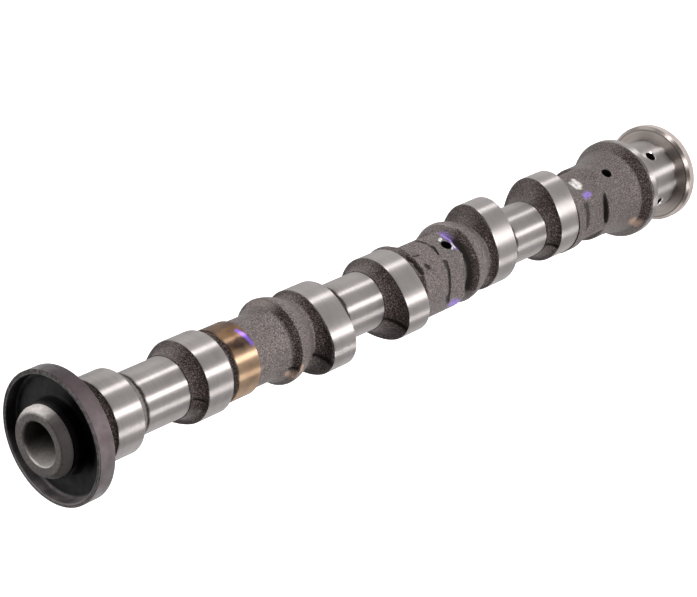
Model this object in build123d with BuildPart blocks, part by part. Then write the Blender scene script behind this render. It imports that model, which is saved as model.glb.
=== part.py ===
"""Camshaft of one bank of a V6 engine, with the magnetic target cup on its nose.

Millimetres. +Z runs up the shaft axis, z = 0 is the end face of the flange and the nose points up.
+Y is the direction of the tips of the lobe pair next to the nose.
"""
from math import cos, radians, sin
import os

from build123d import *

os.makedirs("parts", exist_ok=True)

# Stations are counted down from the nose face
pitch = 106.0            # cylinder spacing, one small journal to the next
first_journal = 50.2
lobe_offset = 21.85      # middle of a journal to the middle of the lobe on either side

# Journals
journal_r = 12.0
journal_w = 20.0
journal_edge = 0.3
neck_r = 11.6            # relief above each small journal
main_r = 16.0
main_w = 21.8
main_edge = 0.5
undercut_r = 15.4
undercut_w = 2.9

# Lobes
base_r = 16.0
lift = 5.1
lobe_w = 12.3
flank_reach = 105.8      # degrees from the tip to the end of a flank
flank_power = 6.55       # fullness of the tip
tip_angles = (90, -150, -30)
outline_arcs = 7
slope_w = 5.7            # hollow cast slope on the nose side of a lobe
steep_w = 1.7            # steep outer part of that slope
steep_drop = 2.1
steep_lift = 0.5         # share of the lift left at its foot
root_r = 12.3
draft_w = 1.0            # cast draft on the other side
draft_drop = 0.5

# Nose and its bore
nose_r = 13.2
nose_tip_r = 12.0
nose_taper = 2.2
bore_r = 8.25
bore_depth = 30.0
bore_edge = 0.4

# Target cup and the ring bonded round it
hub_top = 4.0
cup_top = 5.3
cup_bottom = 12.3
floor_top = 10.0
cup_sheet = 0.85
bend_w = 1.0             # bevelled bends of the cup
target_r = 25.0
target_t = 0.9

# Sections between the lobes. Their places are shares of the free length between two lobes
tint_place = 0.086
crest_place = 0.708
hex_place = 0.346
mid_oil_place = 0.516
ridge_place = 0.716
rear_hex_place = 0.126
rear_oil_place = 0.606
collar_place = 0.964

groove_r = 13.0
tint_r = 14.45
tint_w = 11.5
tint_edge = 0.8
waist_r = 12.9
waist_bottom_r = 15.0
rise_w = 12.6            # hollow rise from the waist to the crest
front_w = 3.4            # steep front of the crest
crest_r = 17.15
crest_edge = 0.6
valley_r = 13.4
valley_w = 4.2
rise_share = 0.32        # share of the rise that lies in its first half
fall_share = 0.32        # share of a crest's fall that lies in its first half
bar_r = 17.05
bar_edge = 1.1
hex_a = 14.5             # axis to a wrench flat
hex_w = 11.7
top_flat = 13.1          # axis to the long flat of the middle section
top_flat_w = 26.0
rear_bar_r = 16.4
rear_hex_w = 14.5
dome_r = 18.9
dome_gap = 6.0           # rear hexagon to the dome
dome_front = 4.8         # steep front of the collar
dome_share = 0.22        # share of the dome's rise that lies in its first half
collar_w = 3.4
collar_r = 22.1
collar_edge = 0.3

# Flange
flange_r = 22.0
flange_w = 4.7
flange_edge = 1.2
flange_back_edge = 0.5

# Oil ways, and the holes of the flange end
oil_r = 2.4
oil_angle = -65
main_oil_place = 0.596   # share of the main journal's length
main_oil_angles = (-67.6, -153)
gallery_r = 3.0
bolt_r = 5.5
bolt_edge = 1.0
bolt_depth = 32.0
dowel_r = 2.5
dowel_at_r = 11.0
dowel_depth = 7.0
flat_reach = 8.0         # how far out a flat's cut reaches
drill_point = 0.6        # depth of a drilled hole's cone, as a share of its radius

journals = [first_journal + i * pitch for i in range(len(tip_angles))]
lobes = []
for i, station in enumerate(journals):
    lobes.append((station - lobe_offset, tip_angles[i], valley_r))
    lobes.append((station + lobe_offset, tip_angles[i], root_r))


def after(journal, share):
    """Station at a share of the free length between the lobe after a journal and the next lobe."""
    return journal + lobe_offset + lobe_w / 2 + share * (pitch - 2 * lobe_offset - lobe_w)


tint_top = after(journals[0], tint_place)
crest = after(journals[0], crest_place)
hex_bottom = after(journals[1], hex_place) + hex_w
mid_oil = after(journals[1], mid_oil_place)
ridge = after(journals[1], ridge_place)
rear_hex_bottom = after(journals[2], rear_hex_place) + rear_hex_w
rear_oil = after(journals[2], rear_oil_place)
collar_top = after(journals[2], collar_place)
main_top = collar_top + collar_w
main_oil = main_top + main_oil_place * main_w
length = main_top + main_w + undercut_w + flange_w


def at(station):
    """Height of a station counted down from the nose face."""
    return length - station


def journal_points(station):
    """Outline of a small journal from the back of the lobe above it to the lobe below it."""
    front = station - journal_w / 2
    return [
        (neck_r, at(station - lobe_offset)),
        (neck_r, at(front)),
        (journal_r - journal_edge, at(front)),
        (journal_r, at(front + journal_edge)),
        (journal_r, at(station + lobe_offset)),
    ]


def bulge_points(top_r, top, bottom_r, bottom, share):
    """Top, middle and foot of a rounded stretch; share is how much of its change comes first."""
    middle = (top + bottom) / 2
    return [
        (top_r, at(top)),
        (top_r + share * (bottom_r - top_r), at(middle)),
        (bottom_r, at(bottom)),
    ]


def valley_top(journal):
    """Station where the valley above the lobe before a journal starts."""
    return journal - lobe_offset - lobe_w / 2 - valley_w


def flats(angles, distance):
    """Draw, in the open sketch, what lies outside the given wrench flats."""
    for angle in angles:
        with PolarLocations(distance + flat_reach / 2, 1, start_angle=angle):
            Rectangle(flat_reach, 3 * flat_reach)


def lobe_face(tip, base, rise):
    """A closed cam outline with its tip turned to the given angle."""
    points = []
    for i in range(-outline_arcs, outline_arcs + 1):
        angle = flank_reach * i / outline_arcs
        r = base + rise * (1 - (angle / flank_reach) ** 2) ** flank_power
        points.append((r * cos(radians(tip + angle)), r * sin(radians(tip + angle))))
    back = radians(tip + 180)
    with BuildSketch() as face:
        with BuildLine():
            for i in range(0, 2 * outline_arcs, 2):
                ThreePointArc(*points[i : i + 3])
            ThreePointArc(points[-1], (base * cos(back), base * sin(back)), points[0])
        make_face()
    return face.sketch


with BuildPart() as camshaft:
    with BuildSketch(Plane.XZ):
        with BuildLine():
            Polyline(
                (0, at(0)),
                (nose_tip_r, at(0)),
                (nose_r, at(nose_taper)),
                (nose_r, at(journals[0] - lobe_offset)),
                *journal_points(journals[0]),
                (groove_r, at(journals[0] + lobe_offset)),
                (groove_r, at(tint_top - tint_edge)),
                (tint_r, at(tint_top)),
                (tint_r, at(tint_top + tint_w)),
                (waist_r, at(tint_top + tint_w + tint_edge)),
                (waist_r, at(crest - rise_w)),
            )
            ThreePointArc(
                *bulge_points(
                    waist_r, crest - rise_w, waist_bottom_r, crest - front_w, rise_share
                )
            )
            Polyline(
                (waist_bottom_r, at(crest - front_w)),
                (crest_r - crest_edge, at(crest - 2 * crest_edge)),
                *bulge_points(crest_r, crest, valley_r, valley_top(journals[1]), fall_share),
                (valley_r, at(journals[1] - lobe_offset)),
                *journal_points(journals[1]),
                (bar_r - bar_edge, at(journals[1] + lobe_offset)),
                (bar_r - bar_edge, at(journals[1] + lobe_offset + lobe_w / 2)),
                (bar_r, at(journals[1] + lobe_offset + lobe_w / 2 + 2 * bar_edge)),
                (bar_r, at(hex_bottom)),
                (hex_a, at(hex_bottom)),
                (crest_r - crest_edge, at(ridge - 2 * crest_edge)),
                *bulge_points(crest_r, ridge, valley_r, valley_top(journals[2]), fall_share),
                (valley_r, at(journals[2] - lobe_offset)),
                *journal_points(journals[2]),
                (rear_bar_r, at(journals[2] + lobe_offset)),
                (rear_bar_r, at(rear_hex_bottom + dome_gap)),
            )
            ThreePointArc(
                *bulge_points(
                    rear_bar_r, rear_hex_bottom + dome_gap, dome_r, collar_top - dome_front, dome_share
                )
            )
            Polyline(
                (dome_r, at(collar_top - dome_front)),
                (collar_r - collar_edge, at(collar_top)),
                (collar_r, at(collar_top + collar_edge)),
                (collar_r, at(main_top)),
                (main_r - main_edge, at(main_top)),
                (main_r, at(main_top + main_edge)),
                (main_r, at(main_top + main_w)),
                (undercut_r, at(main_top + main_w)),
                (undercut_r, flange_w),
                (flange_r - flange_edge, flange_w),
                (flange_r, flange_w - flange_edge),
                (flange_r, flange_back_edge),
                (flange_r - flange_back_edge, 0),
                (0, 0),
                (0, at(0)),
            )
        make_face()
    revolve(axis=Axis.Z)

    # Lobes: ground land, hollow cast slope toward the nose, short draft toward the flange
    for station, tip, foot_r in lobes:
        land_top = at(station - lobe_w / 2)
        land_bottom = at(station + lobe_w / 2)
        with BuildSketch(Plane.XY.offset(land_bottom)):
            add(lobe_face(tip, base_r, lift))
        extrude(amount=lobe_w)
        with BuildSketch(Plane.XY.offset(land_top)):
            add(lobe_face(tip, base_r, lift))
        with BuildSketch(Plane.XY.offset(land_top + steep_w)):
            add(lobe_face(tip, base_r - steep_drop, lift * steep_lift))
        loft(ruled=True)
        with BuildSketch(Plane.XY.offset(land_top + steep_w)):
            add(lobe_face(tip, base_r - steep_drop, lift * steep_lift))
        with BuildSketch(Plane.XY.offset(land_top + slope_w)):
            add(lobe_face(tip, foot_r, 0))
        loft(ruled=True)
        with BuildSketch(Plane.XY.offset(land_bottom - draft_w)):
            add(lobe_face(tip, base_r - draft_drop, lift))
        with BuildSketch(Plane.XY.offset(land_bottom)):
            add(lobe_face(tip, base_r, lift))
        loft(ruled=True)

    # Wrench flats, and the long flat beside the middle section
    with BuildSketch(Plane.XY.offset(at(hex_bottom))):
        flats((-120, -60, 60, 120), hex_a)
    extrude(amount=hex_w, mode=Mode.SUBTRACT)
    with BuildSketch(Plane.XY.offset(at(hex_bottom))):
        flats((0,), top_flat)
    extrude(amount=top_flat_w, mode=Mode.SUBTRACT)
    with BuildSketch(Plane.XY.offset(at(rear_hex_bottom))):
        flats((0, 60, 120, 180, -120, -60), hex_a)
    extrude(amount=rear_hex_w, mode=Mode.SUBTRACT)

    # Bore of the nose
    with BuildSketch(Plane.XZ):
        with BuildLine():
            Polyline(
                (0, at(0)),
                (bore_r + bore_edge, at(0)),
                (bore_r, at(bore_edge)),
                (bore_r, at(bore_depth)),
                (0, at(bore_depth + bore_r * drill_point)),
                close=True,
            )
        make_face()
    revolve(axis=Axis.Z, mode=Mode.SUBTRACT)

    # Bolt bore of the flange end, running on as the oil gallery
    with BuildSketch(Plane.XZ):
        with BuildLine():
            Polyline(
                (0, 0),
                (bolt_r + bolt_edge, 0),
                (bolt_r, bolt_edge),
                (bolt_r, bolt_depth),
                (gallery_r, bolt_depth + (bolt_r - gallery_r) * drill_point),
                (gallery_r, at(mid_oil - 2 * oil_r)),
                (0, at(mid_oil - 2 * oil_r) + gallery_r * drill_point),
                close=True,
            )
        make_face()
    revolve(axis=Axis.Z, mode=Mode.SUBTRACT)
    with BuildSketch(Plane.XY):
        with Locations((0, dowel_at_r)):
            Circle(dowel_r)
    extrude(amount=dowel_depth, mode=Mode.SUBTRACT)

    # Radial oil holes
    for station, angle in (
        (mid_oil, oil_angle),
        (rear_oil, oil_angle),
        (main_oil, main_oil_angles[0]),
        (main_oil, main_oil_angles[1]),
    ):
        outward = (cos(radians(angle)), sin(radians(angle)), 0)
        with BuildSketch(Plane(origin=(0, 0, at(station)), z_dir=outward)):
            Circle(oil_r)
        extrude(amount=collar_r, mode=Mode.SUBTRACT)

camshaft.part.label = "camshaft"
export_step(camshaft.part, "parts/camshaft.step")

wall_r = target_r - target_t
hub_r = nose_r + cup_sheet
bend_out = bend_w + cup_sheet

with BuildPart() as target_cup:
    with BuildSketch(Plane.XZ):
        with BuildLine():
            Polyline(
                (nose_r, at(hub_top)),
                (nose_r, at(floor_top - bend_w)),
                (nose_r + bend_out, at(floor_top + cup_sheet)),
                (wall_r - bend_out, at(floor_top + cup_sheet)),
                (wall_r, at(floor_top - bend_w)),
                (wall_r, at(cup_top)),
                (wall_r - cup_sheet, at(cup_top)),
                (wall_r - cup_sheet, at(floor_top - bend_w)),
                (wall_r - bend_out, at(floor_top)),
                (hub_r + bend_w, at(floor_top)),
                (hub_r, at(floor_top - bend_w)),
                (hub_r, at(hub_top)),
                close=True,
            )
        make_face()
    revolve(axis=Axis.Z)

target_cup.part.label = "target_cup"
export_step(target_cup.part, "parts/target_cup.step")

with BuildPart() as target_ring:
    with BuildSketch(Plane.XZ):
        with BuildLine():
            Polyline(
                (wall_r, at(floor_top - bend_w)),
                (wall_r, at(cup_top)),
                (target_r, at(cup_top)),
                (target_r, at(cup_bottom)),
                (wall_r - bend_out, at(cup_bottom)),
                (wall_r - bend_out, at(floor_top + cup_sheet)),
                close=True,
            )
        make_face()
    revolve(axis=Axis.Z)

target_ring.part.label = "target_ring"
export_step(target_ring.part, "parts/target_ring.step")
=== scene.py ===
"""Studio picture of a camshaft: cast skins between ground journals and lobes, and a target cup.

Sizes are in millimetres and angles in degrees. Stations are counted down from the nose face, and
angles run round the shaft from +X. The lights, the camera, the floor and the materials' numbers are
in metres.
"""

from math import cos, pi, radians, sin, tau

import bpy
import numpy as np
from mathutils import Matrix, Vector


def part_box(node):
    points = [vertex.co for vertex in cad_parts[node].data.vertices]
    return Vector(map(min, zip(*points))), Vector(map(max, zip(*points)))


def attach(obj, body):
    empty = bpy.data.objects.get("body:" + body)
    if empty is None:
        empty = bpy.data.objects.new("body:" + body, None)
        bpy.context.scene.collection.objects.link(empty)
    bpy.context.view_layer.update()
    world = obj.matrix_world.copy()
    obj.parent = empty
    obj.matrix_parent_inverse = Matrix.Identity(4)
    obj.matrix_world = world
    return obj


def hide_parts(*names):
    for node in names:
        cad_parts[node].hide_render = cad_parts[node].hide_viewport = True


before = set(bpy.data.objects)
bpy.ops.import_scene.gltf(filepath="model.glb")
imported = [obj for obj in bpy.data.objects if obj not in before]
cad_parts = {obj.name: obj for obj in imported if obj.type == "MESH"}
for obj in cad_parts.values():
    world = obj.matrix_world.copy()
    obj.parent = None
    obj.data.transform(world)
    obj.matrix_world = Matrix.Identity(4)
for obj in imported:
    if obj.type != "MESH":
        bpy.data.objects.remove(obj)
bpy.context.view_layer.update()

MM = 0.001
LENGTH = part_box("camshaft")[1][2] / MM

# Lobes and journals
PAIRS = ("front", "centre", "rear")
PITCH = 106.0
FIRST_JOURNAL = 50.2
LOBE_OFFSET = 21.85
TIPS = (90, -150, -30)
BASE_R = 16.0
LIFT = 5.1
LOBE_W = 12.3
REACH = 105.8             # angle from the tip at which the lift has died out
POWER = 6.55              # how quickly the lift falls on the way there
LAND_EDGE = 0.12
JOURNAL_R = 12.0
JOURNAL_W = 20.0
JOURNAL_EDGE = 0.3
NECK_R = 11.5

# Hollow cast slopes that rise to the lobes
ROOT_R = 12.3
SLOPE_W = 5.7
SLOPE_POWER = 1.75
CAST_STEP = 0.12          # how far the ground land stands proud of the cast slope's edge

# Front section: groove, tinted ring, waist and crest
GROOVE_R = 13.0
TINT_R = 14.45
TINT_TOP = 82.5
TINT_BOTTOM = 94.0
TINT_EDGE = 0.25
TINT_SEAT = 1.9           # how far the ring's ends reach in toward the axis
WAIST_R = 12.9
WAIST_END = 111.0
CREST_R = 17.15
CREST = 113.6
VALLEY_R = 13.4
FRONT_VALLEY_W = 4.4

# Middle section: bar with flats, cone and ridge
BAR_R = 17.05
BAR_TOP = 187.0
FLAT_A = 14.5             # distance of a wrench flat from the axis
HEX_TOP = 200.5
HEX_BOTTOM = 213.2
LONG_FLAT_A = 13.1
RIDGE = 220.0
MIDDLE_VALLEY_W = 4.0

# Rear section: hexagon, dome and collar
REAR_R = 16.4
REAR_HEX_TOP = 296.5
REAR_HEX_BOTTOM = 311.0
COLLAR_TOP = 338.4
COLLAR_BOTTOM = 341.8
COLLAR_R = 22.1
COLLAR_EDGE = 0.3
COLLAR_CORE_R = 15.0

# Nose
NOSE_R = 13.2
NOSE_TIP_R = 12.0
NOSE_TAPER = 2.2
BORE_R = 8.25
BORE_DEPTH = 30.0
BORE_LIP = 0.4
BORE_ROWS_END = 24.0      # the bore has close rows down to here, for its painted shading
BORE_ROWS = 48
DRILL_POINT = 4.5
DRILL_POINT_R = 1.0
NOSE_WALL_END = BORE_DEPTH + 8  # its outer skin runs on to here, 3.5 mm past the first lobe

# Target cup and its ring
HUB_TOP = 4.0
CUP_TOP = 5.3
CUP_FLOOR = 10.0
FLOOR_RINGS = (17.0, 19.0, 20.5, 21.8)
WORN_FROM_R = 19.0        # the worn specks stay outside this radius, off the hub
WORN_FULL_R = 20.0
SHEET = 0.85
BEND_R = 1.0
RING_R = 25.0
RING_T = 0.9
RING_BOTTOM = 12.3
RING_EDGE = 0.3
CUP_WALL_R = RING_R - RING_T
CUP_INNER_R = CUP_WALL_R - SHEET
OUTER_BEND_R = BEND_R + SHEET

# Main journal, flange and oil holes
MAIN_R = 16.0
MAIN_BOTTOM = 363.6
MAIN_EDGE = 0.5
MAIN_SEAT = 2.6           # how far the main journal reaches into the collar
UNDERCUT_R = 15.4
FLANGE_TOP = 366.5
FLANGE_R = 22.0
FLANGE_EDGE = 1.2
FLANGE_MARK_R = 20.5
BOLT_R = 5.5
OIL_R = 2.4
OIL_CHAMFER = 0.45
OIL_HOLES = ((210.0, -65), (320.5, -65))
OIL_BOTTOM_R = 3.0
MAIN_OIL_HOLES = ((354.8, -67.6), (354.8, -153))
MAIN_OIL_BOTTOM_R = 4.0
OVERSHOOT = 3.0           # how far a cutter stands out of the skin that it cuts

# Mesh density
COLUMNS = 480
TURNED_COLUMNS = 360
LOBE_COLUMNS = 720
LOBE_ROWS = 41
HOLE_COLUMNS = 48
ROW = 0.3

# Edges that turn by more than this stay sharp
SHARP_TURNED = 32
SHARP_CAST = 60


def height(station):
    return LENGTH - station


def journal_middle(pair):
    return FIRST_JOURNAL + pair * PITCH


def lobe_edge(pair, lobe, edge):
    """Station of a lobe's edge; -1 is the upper lobe or the edge toward the nose, 1 the other."""
    return journal_middle(pair) + lobe * LOBE_OFFSET + edge * LOBE_W / 2


FRONT_TOP = round(lobe_edge(0, 1, 1), 1)
FRONT_END = round(lobe_edge(1, -1, -1), 1)
MIDDLE_TOP = round(lobe_edge(1, 1, 1), 1)
MIDDLE_END = round(lobe_edge(2, -1, -1), 1)
REAR_TOP = round(lobe_edge(2, 1, 1), 1)


# ---------------------------------------------------------------- shapes
def angles(columns=COLUMNS):
    """Column angles round the shaft, in radians."""
    return np.linspace(-pi, pi, columns, endpoint=False)


def away(phi, middle):
    """How far each angle is from a middle angle given in degrees, in radians."""
    return np.abs((phi - radians(middle) + pi) % tau - pi)


def cam_radius(phi, tip):
    share = np.clip(1 - (away(phi, tip) / radians(REACH)) ** 2, 0, None)
    return BASE_R + LIFT * share**POWER


def slope(phi, station, tip, front, foot_r, width):
    """Hollow cast slope that rises from a round foot to the lobe's outline at its front."""
    u = np.clip((front - station) / width, 0, 1)
    rise = 1 - (1 - (1 - u) ** SLOPE_POWER) ** (1 / SLOPE_POWER)
    return foot_r + (cam_radius(phi, tip) - CAST_STEP - foot_r) * rise


def cut_flat(radius, phi, normal, distance, share):
    """Radius after a flat with the given normal is cut, as deep as the share from 0 to 1 says."""
    grazing = 0.2         # least cosine at which the flat still meets the skin
    out_of_reach = 1e3
    facing = np.cos(away(phi, normal))
    flat = np.where(facing > grazing, distance / np.maximum(facing, grazing), out_of_reach)
    return radius - (radius - np.minimum(radius, flat)) * share


def window(station, start, end, ramp=0.5):
    """1 between two stations and 0 outside them, with a ramp of the given length at each."""
    rise = np.clip((station - start) / ramp + 0.5, 0, 1)
    fall = np.clip((end - station) / ramp + 0.5, 0, 1)
    return rise * fall


def profile(station, points):
    """Radius at each station by straight lines between (station, radius) points."""
    stations, radii = zip(*points)
    return np.interp(station, stations, radii)


def soften(radii, rows):
    """Rounds the corners of a skin along the shaft, leaving its end rows where they are."""
    kernel = np.hanning(rows + 2)[1:-1]
    kernel /= kernel.sum()
    pad = rows // 2
    padded = np.pad(radii, ((pad, pad), (0, 0)), mode="reflect", reflect_type="odd")
    soft = np.stack([np.convolve(column, kernel, mode="valid") for column in padded.T], axis=1)
    return soft[: len(radii)]


def linked_object(name, mesh):
    obj = bpy.data.objects.new(name, mesh)
    bpy.context.scene.collection.objects.link(obj)
    return obj


def grid_object(name, radii, stations, loop=False):
    """Skin of quads round the shaft; its ends are closed by faces, or joined when it is a loop."""
    rows, columns = radii.shape
    phi = angles(columns)
    z = np.repeat(height(np.asarray(stations, float))[:, None], columns, axis=1)
    points = np.stack([radii * np.cos(phi), radii * np.sin(phi), z], axis=-1).reshape(-1, 3) * MM
    here = np.arange(rows * columns).reshape(rows, columns)
    right = np.roll(here, -1, axis=1)
    below = np.roll(here, -1, axis=0)
    below_right = np.roll(right, -1, axis=0)
    quads = np.stack([here, below, below_right, right], axis=-1)
    if not loop:
        quads = quads[:-1]
    faces = quads.reshape(-1, 4).tolist()
    if not loop:
        faces.append(here[0].tolist())
        faces.append(here[-1][::-1].tolist())
    mesh = bpy.data.meshes.new(name)
    mesh.from_pydata(points.tolist(), [], faces)
    mesh.update()
    return linked_object(name, mesh)


def cast_object(name, start, end, rule, rounding=5):
    """Cast skin between two stations; the rule gives the radius for angles and stations."""
    stations = np.linspace(start, end, int((end - start) / ROW) + 1)
    phi = angles()[None, :]
    radii = rule(phi, stations[:, None]) + 0 * phi
    return grid_object(name, soften(radii, rounding), stations)


def turned_object(name, points, loop=False):
    """Turned piece from (radius, station) points that run down its outside."""
    radii = np.array([[r] for r, _ in points]) * np.ones((1, TURNED_COLUMNS))
    return grid_object(name, radii, [s for _, s in points], loop)


def arc_points(centre_r, centre_s, radius, start, end, steps=6):
    """Points of a rounded corner; 0 degrees points outward and 90 degrees toward the nose."""
    turn = [radians(start + (end - start) * i / steps) for i in range(steps + 1)]
    return [(centre_r + radius * cos(t), centre_s - radius * sin(t)) for t in turn]


def smooth(obj, sharp_over=SHARP_TURNED):
    """Smooth shading, with edges that turn by more than the given angle kept sharp."""
    obj.data.shade_smooth()
    obj.data.set_sharp_from_angle(angle=radians(sharp_over))


# ---------------------------------------------------------------- node helpers
def add_node(tree, kind, inputs=None, **settings):
    node = tree.nodes.new(kind)
    for key, value in settings.items():
        setattr(node, key, value)
    for key, value in (inputs or {}).items():
        feed(tree, node.inputs[key], value)
    return node


def feed(tree, socket, value):
    if isinstance(value, bpy.types.NodeSocket):
        tree.links.new(value, socket)
    else:
        socket.default_value = value


def calc(tree, operation, a, b=0.0, clamp=False):
    node = add_node(tree, "ShaderNodeMath", {0: a, 1: b}, operation=operation)
    node.use_clamp = clamp
    return node.outputs[0]


def new_tree(name, inputs):
    """Geometry Nodes tree with a geometry input and output and the named number inputs."""
    tree = bpy.data.node_groups.new(name, "GeometryNodeTree")
    tree.interface.new_socket("Geometry", in_out="INPUT", socket_type="NodeSocketGeometry")
    tree.interface.new_socket("Geometry", in_out="OUTPUT", socket_type="NodeSocketGeometry")
    for label in inputs:
        tree.interface.new_socket(label, in_out="INPUT", socket_type="NodeSocketFloat")
    tree.interface.new_socket("Material", in_out="INPUT", socket_type="NodeSocketMaterial")
    return tree, tree.nodes.new("NodeGroupInput"), tree.nodes.new("NodeGroupOutput")


def finish_tree(tree, source, sink, geometry):
    real = add_node(tree, "GeometryNodeRealizeInstances", {0: geometry})
    dressed = add_node(
        tree,
        "GeometryNodeSetMaterial",
        {"Geometry": real.outputs[0], "Material": source.outputs["Material"]},
    )
    tree.links.new(dressed.outputs[0], sink.inputs[0])


def grow(obj, tree, values):
    """Runs a tree on an object with the named inputs and keeps the result as its plain mesh."""
    modifier = obj.modifiers.new(tree.name, "NODES")
    modifier.node_group = tree
    for item in tree.interface.items_tree:
        if item.in_out == "INPUT" and item.name in values:
            modifier[item.identifier] = values[item.name]
    obj.update_tag()
    bpy.context.view_layer.update()
    evaluated = obj.evaluated_get(bpy.context.evaluated_depsgraph_get())
    mesh = bpy.data.meshes.new_from_object(evaluated)
    obj.modifiers.remove(modifier)
    obj.data = mesh
    mesh.name = obj.name


# ---------------------------------------------------------------- Geometry Nodes
def cam_lobe_tree():
    """A ground cam lobe: a cylinder whose radius follows the lift rule, with a small edge bevel."""
    labels = ("Base radius", "Lift", "Width", "Tip angle", "Reach", "Power", "Height", "Edge")
    tree, source, sink = new_tree("cam lobe", labels)
    value = source.outputs
    barrel = add_node(
        tree,
        "GeometryNodeMeshCylinder",
        {"Vertices": LOBE_COLUMNS, "Side Segments": LOBE_ROWS, "Radius": 1.0, "Depth": value["Width"]},
        fill_type="NGON",
    )
    place = add_node(tree, "GeometryNodeInputPosition").outputs[0]
    axis = add_node(tree, "ShaderNodeSeparateXYZ", {0: place})
    x, y, z = axis.outputs
    phi = calc(tree, "ARCTAN2", y, x)
    turned = calc(tree, "SUBTRACT", phi, value["Tip angle"])
    apart = add_node(tree, "ShaderNodeMath", {0: turned, 1: pi, 2: -pi}, operation="WRAP")
    share = calc(tree, "DIVIDE", calc(tree, "ABSOLUTE", apart.outputs[0]), value["Reach"])
    inside = calc(tree, "SUBTRACT", 1.0, calc(tree, "POWER", share, 2.0), clamp=True)
    rise = calc(tree, "MULTIPLY", value["Lift"], calc(tree, "POWER", inside, value["Power"]))
    radius = calc(tree, "ADD", value["Base radius"], rise)
    half = calc(tree, "MULTIPLY", value["Width"], 0.5)
    start = calc(tree, "SUBTRACT", half, value["Edge"])
    bevel = calc(tree, "MAXIMUM", calc(tree, "SUBTRACT", calc(tree, "ABSOLUTE", z), start), 0.0)
    outline = calc(tree, "SUBTRACT", radius, bevel)
    target = add_node(
        tree,
        "ShaderNodeCombineXYZ",
        {
            0: calc(tree, "MULTIPLY", x, outline),
            1: calc(tree, "MULTIPLY", y, outline),
            2: calc(tree, "ADD", z, value["Height"]),
        },
    )
    moved = add_node(
        tree,
        "GeometryNodeSetPosition",
        {"Geometry": barrel.outputs[0], "Position": target.outputs[0]},
    )
    finish_tree(tree, source, sink, moved.outputs[0])
    return tree


def cast_grain_tree():
    """Sand-cast grain: the skin moves along its normals, by how much the grain attribute says."""
    tree, source, sink = new_tree("cast grain", ("Grain size", "Depth", "Seed"))
    value = source.outputs
    place = add_node(tree, "GeometryNodeInputPosition").outputs[0]
    inverse = calc(tree, "DIVIDE", 1.0, value["Grain size"])
    scaled = add_node(tree, "ShaderNodeVectorMath", {0: place, "Scale": inverse}, operation="SCALE")
    noise = add_node(tree, "ShaderNodeTexNoise", noise_dimensions="4D")
    feed(tree, noise.inputs["Vector"], scaled.outputs[0])
    feed(tree, noise.inputs["W"], value["Seed"])
    noise.inputs["Scale"].default_value = 1.0
    noise.inputs["Detail"].default_value = 4.0
    noise.inputs["Roughness"].default_value = 0.6
    swing = calc(tree, "SUBTRACT", noise.outputs[0], 0.5)
    mask = add_node(tree, "GeometryNodeInputNamedAttribute", {"Name": "grain"}, data_type="FLOAT")
    full_depth = calc(tree, "MULTIPLY", swing, value["Depth"])
    depth = calc(tree, "MULTIPLY", full_depth, mask.outputs["Attribute"])
    normal = add_node(tree, "GeometryNodeInputNormal").outputs[0]
    push = add_node(tree, "ShaderNodeVectorMath", {0: normal, "Scale": depth}, operation="SCALE")
    moved = add_node(
        tree,
        "GeometryNodeSetPosition",
        {"Geometry": value["Geometry"], "Offset": push.outputs[0]},
    )
    finish_tree(tree, source, sink, moved.outputs[0])
    return tree


# ---------------------------------------------------------------- colours
STEEL_GREY = (0.325, 0.300, 0.291, 1)
FLANGE_GREY = (0.43, 0.378, 0.352, 1)
BURR_GREY = (0.42, 0.39, 0.375, 1)
OIL_WAY_SHADE = (0.02, 0.018, 0.017, 1)
TINT_BASE = (0.27, 0.165, 0.095, 1)
TINT_BROWN = (0.048, 0.030, 0.027, 1)
TINT_AMBER = (0.21, 0.120, 0.062, 1)
TINT_STRAW = (0.325, 0.222, 0.145, 1)
TINT_BARE = (0.27, 0.235, 0.20, 1)
TINT_VIOLET = (0.26, 0.14, 0.62, 1)
IRON_PIT = (0.015, 0.011, 0.0105, 1)
IRON_GRAIN = (0.165, 0.134, 0.130, 1)
IRON_CLOUD = (0.056, 0.045, 0.0435, 1)
IRON_SHADE = (0.014, 0.009, 0.0085, 1)
IRON_GLINT_SPECK = (0.52, 0.43, 0.385, 1)
IRON_CREASE_SHADE = (0.006, 0.005, 0.004, 1)
CUP_BLACK = (0.034, 0.034, 0.034, 1)
MAGNET_BROWN = (0.050, 0.029, 0.034, 1)
CUP_PAINTED_LIGHT = (0.23, 0.198, 0.205, 1)
CUP_PAINTED_SHADE = (0.004, 0.003, 0.004, 1)
LIP_WORN = (0.20, 0.18, 0.175, 1)
NOSE_PIT = (0.075, 0.066, 0.062, 1)
NOSE_GRAIN = (0.165, 0.150, 0.141, 1)
NOSE_CLOUD = (0.06, 0.053, 0.05, 1)
NOSE_PAINTED_SHADE = (0.034, 0.029, 0.028, 1)
NOSE_PAINTED_LIGHT = (0.97, 0.90, 0.86, 1)

# Marks on the cast skin: name of the attribute, colour, and the most of it that shows
SKIN_PAINTS = (
    # The first is painted highlight, on the lit tops of the crests
    ("worn", (0.30, 0.255, 0.235, 1), 0.6),
    ("smudge", (0.062, 0.058, 0.062, 1), 0.6),
    ("tan", (0.42, 0.27, 0.19, 1), 0.85),
    ("purple", (0.24, 0.14, 0.52, 1), 0.9),
    ("white", (0.75, 0.72, 0.70, 1), 0.95),
)

# Scale of each pattern along x, y and z; the grinding lines run on (radius, 0, height) instead
GRINDING_LINES = (400.0, 1.0, 9000.0)
GRINDING_STREAKS = (120.0, 120.0, 1500.0)
TINT_CLOUDS = (1.0, 1.0, 0.6)


def scaled_colour(colour, share):
    return tuple(share * c for c in colour[:3]) + (1,)


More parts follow.
